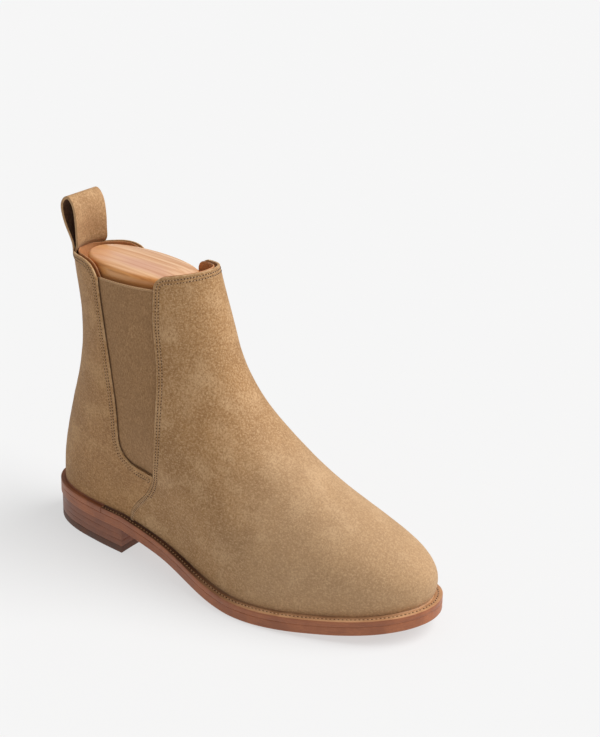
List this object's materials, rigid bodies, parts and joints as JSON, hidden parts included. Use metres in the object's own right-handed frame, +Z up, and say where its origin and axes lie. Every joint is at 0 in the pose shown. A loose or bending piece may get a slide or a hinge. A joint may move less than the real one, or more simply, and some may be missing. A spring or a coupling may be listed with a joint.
{
  "type": "chelsea boot",
  "caption": "Ankle-high suede chelsea boot with elastic side panels, a welted leather sole, a stacked heel, a back pull loop and a cedar shaft block.",
  "frame": {"origin": "middle of the sole's outline, on the ground", "axes": "+X towards the toe, +Y towards the wearer's inner side (a right boot), +Z up"},
  "size_m": [0.3002, 0.1011, 0.2346],
  "materials": {
    "suede_front": "sand suede, brushed nap",
    "suede_back": "sand suede, brushed nap",
    "suede_loop": "sand suede",
    "elastic": "matte ribbed elastic",
    "binding": "thin woven tape",
    "lining": "orange-tan lining leather",
    "stiffener": "pressed leatherboard",
    "sole_leather": "burnished edge, waxed",
    "welt_leather": "light tan welt, stitched",
    "heel_leather": "burnished stacked leather",
    "cork": "ground cork filler",
    "insole_leather": "vegetable-tanned insole",
    "sock_leather": "orange-tan lining leather",
    "shank_steel": "spring steel",
    "top_piece": "dark rubber",
    "nail": "drawn brass",
    "cedar": "polished cedar"
  },
  "bodies": {
    "boot": {"vamp": "suede_front", "quarter_lateral": "suede_back", "quarter_medial": "suede_back", "gore_lateral": "elastic", "gore_medial": "elastic", "gore_binding_lateral": "binding", "gore_binding_medial": "binding", "vamp_lining": "lining", "quarter_lining": "lining", "toe_puff": "stiffener", "heel_counter": "stiffener", "outsole": "sole_leather", "welt": "welt_leather", "heel_rand": "heel_leather", "cork_filler": "cork", "insole": "insole_leather", "sock_liner": "sock_leather", "shank": "shank_steel", "heel_top_piece": "top_piece", "heel_lift_1": "heel_leather", "heel_lift_2": "heel_leather", "heel_lift_3": "heel_leather", "heel_nail_1": "nail", "heel_nail_2": "nail", "heel_nail_3": "nail", "heel_nail_4": "nail", "heel_nail_5": "nail", "pull_loop_tab": "suede_loop"},
    "loop": {"pull_loop": "suede_loop"},
    "boot_tree": {"boot_tree_block": "cedar"}
  },
  "joints": [
    {"name": "pull_loop_hinge", "type": "hinge", "parent": "boot", "child": "loop", "pos_m": [-0.12816, 0.00298, 0.1994], "axis": [0, 1, 0], "range_deg": [-40, 6], "stiffness_Nm_per_rad": 0.01},
    {"name": "boot_tree_lift", "type": "slide", "parent": "boot", "child": "boot_tree", "axis": [0, 0, 1], "range_m": [0, 0.14]}
  ]
}
